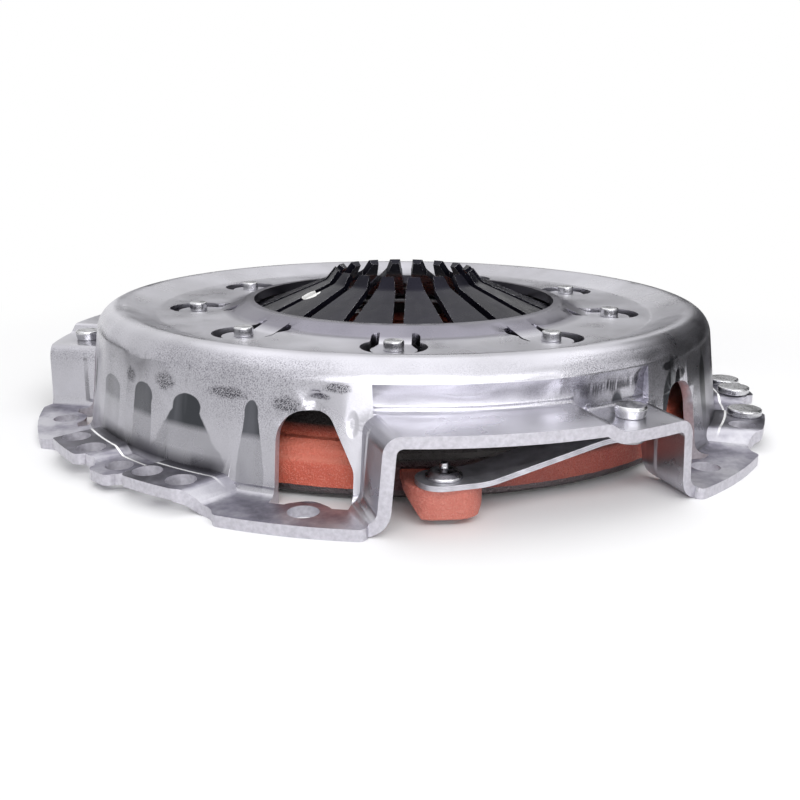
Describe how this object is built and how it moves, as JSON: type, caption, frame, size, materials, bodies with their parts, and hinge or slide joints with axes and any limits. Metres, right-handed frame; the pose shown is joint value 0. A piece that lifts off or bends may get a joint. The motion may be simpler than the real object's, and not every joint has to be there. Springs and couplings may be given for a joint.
{
  "type": "clutch pressure plate",
  "caption": "Diaphragm spring clutch cover: pressed steel cover with raised strap ledges, slotted spring fingers, and a cast iron pressure plate hung on tangential leaf straps.",
  "frame": {"origin": "centre of the flywheel mounting face", "axes": "+Z along the clutch axis towards the release bearing; -Y through the middle of the first strap pocket"},
  "size_m": [0.258, 0.254, 0.0504],
  "materials": {
    "cover_steel": "bare pressed steel, lightly stained",
    "spring_black": "gloss black",
    "plate_iron": "red primer over sand casting, bare ground friction face",
    "ring_steel": "bare wire",
    "strap_steel": "rolled spring strip",
    "rivet_steel": "zinc plated"
  },
  "bodies": {
    "cover": {"cover": "cover_steel", "diaphragm_spring": "spring_black", "upper_wire_ring": "ring_steel", "lower_wire_ring": "ring_steel", "spring_rivet_1": "rivet_steel", "spring_rivet_2": "rivet_steel", "spring_rivet_3": "rivet_steel", "spring_rivet_4": "rivet_steel", "spring_rivet_5": "rivet_steel", "spring_rivet_6": "rivet_steel", "spring_rivet_7": "rivet_steel", "spring_rivet_8": "rivet_steel", "spring_rivet_9": "rivet_steel", "drive_strap_1_leaf_1": "strap_steel", "drive_strap_1_leaf_2": "strap_steel", "drive_strap_1_leaf_3": "strap_steel", "drive_strap_2_leaf_1": "strap_steel", "drive_strap_2_leaf_2": "strap_steel", "drive_strap_2_leaf_3": "strap_steel", "drive_strap_3_leaf_1": "strap_steel", "drive_strap_3_leaf_2": "strap_steel", "drive_strap_3_leaf_3": "strap_steel", "cover_strap_rivet_1": "rivet_steel", "cover_strap_rivet_2": "rivet_steel", "cover_strap_rivet_3": "rivet_steel", "balance_rivet_1": "rivet_steel", "balance_rivet_2": "rivet_steel", "balance_rivet_3": "rivet_steel"},
    "pressure_plate": {"pressure_plate": "plate_iron", "lug_rivet_1": "rivet_steel", "lug_rivet_2": "rivet_steel", "lug_rivet_3": "rivet_steel"}
  },
  "joints": [
    {"name": "plate_slide", "type": "slide", "parent": "cover", "child": "pressure_plate", "axis": [0, 0, 1], "range_m": [0, 0.004], "stiffness_N_per_m": 5000, "deforming": ["diaphragm_spring", "drive_strap_1_leaf_1", "drive_strap_1_leaf_2", "drive_strap_1_leaf_3", "drive_strap_2_leaf_1", "drive_strap_2_leaf_2", "drive_strap_2_leaf_3", "drive_strap_3_leaf_1", "drive_strap_3_leaf_2", "drive_strap_3_leaf_3"]}
  ]
}
